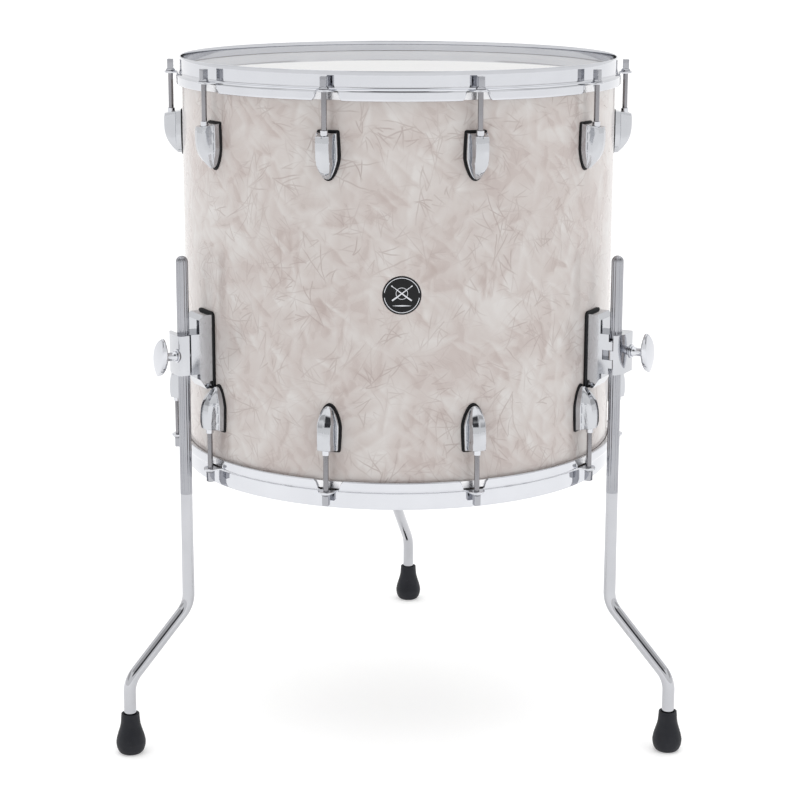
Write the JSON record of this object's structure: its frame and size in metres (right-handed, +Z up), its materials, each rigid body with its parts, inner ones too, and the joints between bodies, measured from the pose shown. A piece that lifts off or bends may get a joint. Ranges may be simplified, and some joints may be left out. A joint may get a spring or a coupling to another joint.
{
  "type": "floor tom drum",
  "caption": "Cylindrical floor tom with a pearl-wrapped shell, chrome flanged hoops tuned by rods in lugs, clear heads, and cranked legs clamped in hinged brackets.",
  "frame": {"origin": "on the floor, under the middle of the whole drum's box", "axes": "+Z up along the shell's axis, -Y towards the badge at the front, +X to the right seen from the front"},
  "size_m": [0.5908, 0.5746, 0.712],
  "materials": {
    "ply": "lacquered birch ply",
    "wrap": "glossy pearl laminate",
    "badge": "glossy enamel disc with a thin silver ring",
    "chrome": "mirror plated",
    "film": "clear polyester film",
    "flesh_alloy": "satin",
    "gasket": "matt black",
    "steel_screw": "zinc plated",
    "foot_rubber": "moulded, near black"
  },
  "bodies": {
    "drum": {"shell": "ply", "shell_wrap": "wrap", "badge": "badge", "batter_lugs": "chrome", "batter_lug_gaskets": "gasket", "batter_swivel_nuts": "chrome", "batter_lug_screws": "steel_screw", "resonant_lugs": "chrome", "resonant_lug_gaskets": "gasket", "resonant_swivel_nuts": "chrome", "resonant_lug_screws": "steel_screw", "bracket_bases": "chrome", "bracket_gaskets": "gasket", "bracket_screws": "steel_screw", "hinge_pins": "chrome"},
    "batter_ring": {"batter_hoop": "chrome", "batter_head": "film", "batter_flesh_hoop": "flesh_alloy", "batter_washers": "chrome"},
    "resonant_ring": {"resonant_hoop": "chrome", "resonant_head": "film", "resonant_flesh_hoop": "flesh_alloy", "resonant_washers": "chrome"},
    "batter_rod_1": {"batter_rod_1": "chrome"},
    "batter_rod_2": {"batter_rod_2": "chrome"},
    "batter_rod_3": {"batter_rod_3": "chrome"},
    "batter_rod_4": {"batter_rod_4": "chrome"},
    "batter_rod_5": {"batter_rod_5": "chrome"},
    "batter_rod_6": {"batter_rod_6": "chrome"},
    "batter_rod_7": {"batter_rod_7": "chrome"},
    "batter_rod_8": {"batter_rod_8": "chrome"},
    "batter_rod_9": {"batter_rod_9": "chrome"},
    "batter_rod_10": {"batter_rod_10": "chrome"},
    "resonant_rod_1": {"resonant_rod_1": "chrome"},
    "resonant_rod_2": {"resonant_rod_2": "chrome"},
    "resonant_rod_3": {"resonant_rod_3": "chrome"},
    "resonant_rod_4": {"resonant_rod_4": "chrome"},
    "resonant_rod_5": {"resonant_rod_5": "chrome"},
    "resonant_rod_6": {"resonant_rod_6": "chrome"},
    "resonant_rod_7": {"resonant_rod_7": "chrome"},
    "resonant_rod_8": {"resonant_rod_8": "chrome"},
    "resonant_rod_9": {"resonant_rod_9": "chrome"},
    "resonant_rod_10": {"resonant_rod_10": "chrome"},
    "clamp_jaw_1": {"clamp_jaw_1": "chrome"},
    "wing_washer_1": {"wing_washer_1": "chrome"},
    "wing_bolt_1": {"wing_bolt_1": "chrome"},
    "leg_1": {"leg_1": "chrome", "foot_1": "foot_rubber"},
    "clamp_jaw_2": {"clamp_jaw_2": "chrome"},
    "wing_washer_2": {"wing_washer_2": "chrome"},
    "wing_bolt_2": {"wing_bolt_2": "chrome"},
    "leg_2": {"leg_2": "chrome", "foot_2": "foot_rubber"},
    "clamp_jaw_3": {"clamp_jaw_3": "chrome"},
    "wing_washer_3": {"wing_washer_3": "chrome"},
    "wing_bolt_3": {"wing_bolt_3": "chrome"},
    "leg_3": {"leg_3": "chrome", "foot_3": "foot_rubber"}
  },
  "joints": [
    {"name": "batter_ring_slide", "type": "slide", "parent": "drum", "child": "batter_ring", "axis": [0, 0, 1], "range_m": [0, 0.005]},
    {"name": "resonant_ring_slide", "type": "slide", "parent": "drum", "child": "resonant_ring", "axis": [0, 0, -1], "range_m": [0, 0.005]},
    {"name": "batter_rod_1_turn", "type": "hinge", "parent": "batter_ring", "child": "batter_rod_1", "pos_m": [0.0741, -0.27681, 0.6935], "axis": [0, 0, 1], "range_deg": [0, 1701.3]},
    {"name": "batter_rod_2_turn", "type": "hinge", "parent": "batter_ring", "child": "batter_rod_2", "pos_m": [0.194, -0.1897, 0.6935], "axis": [0, 0, 1], "range_deg": [0, 1701.3]},
    {"name": "batter_rod_3_turn", "type": "hinge", "parent": "batter_ring", "child": "batter_rod_3", "pos_m": [0.2398, -0.04875, 0.6935], "axis": [0, 0, 1], "range_deg": [0, 1701.3]},
    {"name": "batter_rod_4_turn", "type": "hinge", "parent": "batter_ring", "child": "batter_rod_4", "pos_m": [0.194, 0.0922, 0.6935], "axis": [0, 0, 1], "range_deg": [0, 1701.3]},
    {"name": "batter_rod_5_turn", "type": "hinge", "parent": "batter_ring", "child": "batter_rod_5", "pos_m": [0.0741, 0.17931, 0.6935], "axis": [0, 0, 1], "range_deg": [0, 1701.3]},
    {"name": "batter_rod_6_turn", "type": "hinge", "parent": "batter_ring", "child": "batter_rod_6", "pos_m": [-0.0741, 0.17931, 0.6935], "axis": [0, 0, 1], "range_deg": [0, 1701.3]},
    {"name": "batter_rod_7_turn", "type": "hinge", "parent": "batter_ring", "child": "batter_rod_7", "pos_m": [-0.194, 0.0922, 0.6935], "axis": [0, 0, 1], "range_deg": [0, 1701.3]},
    {"name": "batter_rod_8_turn", "type": "hinge", "parent": "batter_ring", "child": "batter_rod_8", "pos_m": [-0.2398, -0.04875, 0.6935], "axis": [0, 0, 1], "range_deg": [0, 1701.3]},
    {"name": "batter_rod_9_turn", "type": "hinge", "parent": "batter_ring", "child": "batter_rod_9", "pos_m": [-0.194, -0.1897, 0.6935], "axis": [0, 0, 1], "range_deg": [0, 1701.3]},
    {"name": "batter_rod_10_turn", "type": "hinge", "parent": "batter_ring", "child": "batter_rod_10", "pos_m": [-0.0741, -0.27681, 0.6935], "axis": [0, 0, 1], "range_deg": [0, 1701.3]},
    {"name": "resonant_rod_1_turn", "type": "hinge", "parent": "resonant_ring", "child": "resonant_rod_1", "pos_m": [0.0741, -0.27681, 0.3005], "axis": [0, 0, -1], "range_deg": [0, 1701.3]},
    {"name": "resonant_rod_2_turn", "type": "hinge", "parent": "resonant_ring", "child": "resonant_rod_2", "pos_m": [0.194, -0.1897, 0.3005], "axis": [0, 0, -1], "range_deg": [0, 1701.3]},
    {"name": "resonant_rod_3_turn", "type": "hinge", "parent": "resonant_ring", "child": "resonant_rod_3", "pos_m": [0.2398, -0.04875, 0.3005], "axis": [0, 0, -1], "range_deg": [0, 1701.3]},
    {"name": "resonant_rod_4_turn", "type": "hinge", "parent": "resonant_ring", "child": "resonant_rod_4", "pos_m": [0.194, 0.0922, 0.3005], "axis": [0, 0, -1], "range_deg": [0, 1701.3]},
    {"name": "resonant_rod_5_turn", "type": "hinge", "parent": "resonant_ring", "child": "resonant_rod_5", "pos_m": [0.0741, 0.17931, 0.3005], "axis": [0, 0, -1], "range_deg": [0, 1701.3]},
    {"name": "resonant_rod_6_turn", "type": "hinge", "parent": "resonant_ring", "child": "resonant_rod_6", "pos_m": [-0.0741, 0.17931, 0.3005], "axis": [0, 0, -1], "range_deg": [0, 1701.3]},
    {"name": "resonant_rod_7_turn", "type": "hinge", "parent": "resonant_ring", "child": "resonant_rod_7", "pos_m": [-0.194, 0.0922, 0.3005], "axis": [0, 0, -1], "range_deg": [0, 1701.3]},
    {"name": "resonant_rod_8_turn", "type": "hinge", "parent": "resonant_ring", "child": "resonant_rod_8", "pos_m": [-0.2398, -0.04875, 0.3005], "axis": [0, 0, -1], "range_deg": [0, 1701.3]},
    {"name": "resonant_rod_9_turn", "type": "hinge", "parent": "resonant_ring", "child": "resonant_rod_9", "pos_m": [-0.194, -0.1897, 0.3005], "axis": [0, 0, -1], "range_deg": [0, 1701.3]},
    {"name": "resonant_rod_10_turn", "type": "hinge", "parent": "resonant_ring", "child": "resonant_rod_10", "pos_m": [-0.0741, -0.27681, 0.3005], "axis": [0, 0, -1], "range_deg": [0, 1701.3]},
    {"name": "wing_washer_slide_1", "type": "slide", "parent": "drum", "child": "wing_washer_1", "axis": [-0.866, -0.5, 0], "range_m": [0, 0.003]},
    {"name": "wing_bolt_turn_1", "type": "hinge", "parent": "wing_washer_1", "child": "wing_bolt_1", "pos_m": [-0.24122, -0.20095, 0.419], "axis": [-0.866, -0.5, 0], "range_deg": [0, 1080]},
    {"name": "clamp_jaw_open_1", "type": "hinge", "parent": "drum", "child": "clamp_jaw_1", "pos_m": [-0.22629, -0.16681, 0.419], "axis": [0, 0, -1], "range_deg": [0, 5]},
    {"name": "leg_slide_1", "type": "slide", "parent": "drum", "child": "leg_1", "axis": [0, 0, 1], "range_m": [-0.065, 0.2]},
    {"name": "wing_washer_slide_2", "type": "slide", "parent": "drum", "child": "wing_washer_2", "axis": [0.866, -0.5, 0], "range_m": [0, 0.003]},
    {"name": "wing_bolt_turn_2", "type": "hinge", "parent": "wing_washer_2", "child": "wing_bolt_2", "pos_m": [0.25242, -0.18155, 0.419], "axis": [0.866, -0.5, 0], "range_deg": [0, 1080]},
    {"name": "clamp_jaw_open_2", "type": "hinge", "parent": "drum", "child": "clamp_jaw_2", "pos_m": [0.21539, -0.18569, 0.419], "axis": [0, 0, -1], "range_deg": [0, 5]},
    {"name": "leg_slide_2", "type": "slide", "parent": "drum", "child": "leg_2", "axis": [0, 0, 1], "range_m": [-0.065, 0.2]},
    {"name": "wing_washer_slide_3", "type": "slide", "parent": "drum", "child": "wing_washer_3", "axis": [0, 1, 0], "range_m": [0, 0.003]},
    {"name": "wing_bolt_turn_3", "type": "hinge", "parent": "wing_washer_3", "child": "wing_bolt_3", "pos_m": [-0.0112, 0.23625, 0.419], "axis": [0, 1, 0], "range_deg": [0, 1080]},
    {"name": "clamp_jaw_open_3", "type": "hinge", "parent": "drum", "child": "clamp_jaw_3", "pos_m": [0.0109, 0.20625, 0.419], "axis": [0, 0, -1], "range_deg": [0, 5]},
    {"name": "leg_slide_3", "type": "slide", "parent": "drum", "child": "leg_3", "axis": [0, 0, 1], "range_m": [-0.065, 0.2]}
  ],
  "couplings": [
    {"joint": "batter_rod_1_turn", "follows": "batter_ring_slide", "rad_per_m": 5936.9},
    {"joint": "batter_rod_2_turn", "follows": "batter_ring_slide", "rad_per_m": 5936.9},
    {"joint": "batter_rod_3_turn", "follows": "batter_ring_slide", "rad_per_m": 5936.9},
    {"joint": "batter_rod_4_turn", "follows": "batter_ring_slide", "rad_per_m": 5936.9},
    {"joint": "batter_rod_5_turn", "follows": "batter_ring_slide", "rad_per_m": 5936.9},
    {"joint": "batter_rod_6_turn", "follows": "batter_ring_slide", "rad_per_m": 5936.9},
    {"joint": "batter_rod_7_turn", "follows": "batter_ring_slide", "rad_per_m": 5936.9},
    {"joint": "batter_rod_8_turn", "follows": "batter_ring_slide", "rad_per_m": 5936.9},
    {"joint": "batter_rod_9_turn", "follows": "batter_ring_slide", "rad_per_m": 5936.9},
    {"joint": "batter_rod_10_turn", "follows": "batter_ring_slide", "rad_per_m": 5936.9},
    {"joint": "resonant_rod_1_turn", "follows": "resonant_ring_slide", "rad_per_m": 5936.9},
    {"joint": "resonant_rod_2_turn", "follows": "resonant_ring_slide", "rad_per_m": 5936.9},
    {"joint": "resonant_rod_3_turn", "follows": "resonant_ring_slide", "rad_per_m": 5936.9},
    {"joint": "resonant_rod_4_turn", "follows": "resonant_ring_slide", "rad_per_m": 5936.9},
    {"joint": "resonant_rod_5_turn", "follows": "resonant_ring_slide", "rad_per_m": 5936.9},
    {"joint": "resonant_rod_6_turn", "follows": "resonant_ring_slide", "rad_per_m": 5936.9},
    {"joint": "resonant_rod_7_turn", "follows": "resonant_ring_slide", "rad_per_m": 5936.9},
    {"joint": "resonant_rod_8_turn", "follows": "resonant_ring_slide", "rad_per_m": 5936.9},
    {"joint": "resonant_rod_9_turn", "follows": "resonant_ring_slide", "rad_per_m": 5936.9},
    {"joint": "resonant_rod_10_turn", "follows": "resonant_ring_slide", "rad_per_m": 5936.9},
    {"joint": "wing_washer_slide_1", "follows": "wing_bolt_turn_1", "m_per_rad": 0.00015915},
    {"joint": "clamp_jaw_open_1", "follows": "wing_bolt_turn_1", "ratio": 0.0046296},
    {"joint": "wing_washer_slide_2", "follows": "wing_bolt_turn_2", "m_per_rad": 0.00015915},
    {"joint": "clamp_jaw_open_2", "follows": "wing_bolt_turn_2", "ratio": 0.0046296},
    {"joint": "wing_washer_slide_3", "follows": "wing_bolt_turn_3", "m_per_rad": 0.00015915},
    {"joint": "clamp_jaw_open_3", "follows": "wing_bolt_turn_3", "ratio": 0.0046296}
  ]
}
